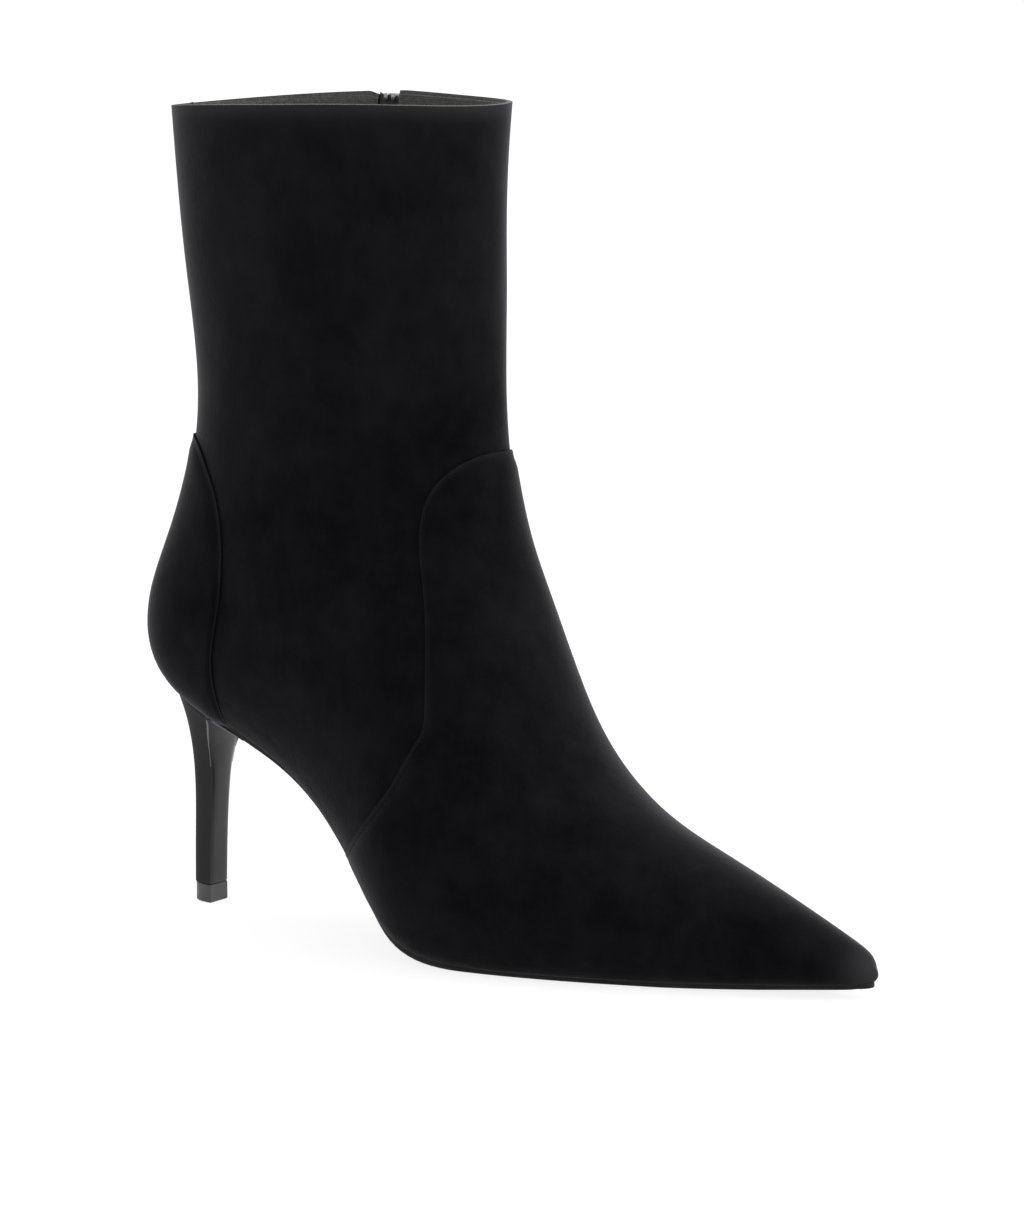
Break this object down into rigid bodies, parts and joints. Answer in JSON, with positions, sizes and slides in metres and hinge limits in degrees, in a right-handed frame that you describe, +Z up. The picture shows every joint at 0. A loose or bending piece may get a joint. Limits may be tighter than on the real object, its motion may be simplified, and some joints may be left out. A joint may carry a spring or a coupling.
{
  "type": "ankle boot",
  "caption": "Pointed ankle boot in black suede on a slim stiletto heel, with a vamp and counter overlay and a zip on the inner side.",
  "frame": {"origin": "middle of the boot's footprint, on the floor", "axes": "+X to the toe, +Y to the inner (medial) side, +Z up"},
  "size_m": [0.2598, 0.0874, 0.2557],
  "materials": {
    "suede": "black suede with a short nap",
    "sole": "black sole leather, matt",
    "lining": "grey lining",
    "heel": "black suede cover, a little brushed",
    "breast": "black gloss",
    "top_piece": "dark grey wear-resistant plastic",
    "tape": "dark grey woven tape",
    "zip_metal": "dark nickel"
  },
  "bodies": {
    "boot": {"upper": "suede", "vamp": "suede", "counter": "suede", "outsole": "sole", "insole": "lining", "heel": "heel", "heel_breast": "breast", "top_piece": "top_piece", "zip_tape": "tape", "zip_teeth": "zip_metal", "zip_slider": "zip_metal"},
    "pull": {"zip_pull": "zip_metal"}
  },
  "joints": [
    {"name": "pull_swing", "type": "hinge", "parent": "boot", "child": "pull", "pos_m": [-0.06486, 0.04157, 0.24958], "axis": [0.9976, 0.0636, 0.028], "range_deg": [0, 165]}
  ]
}
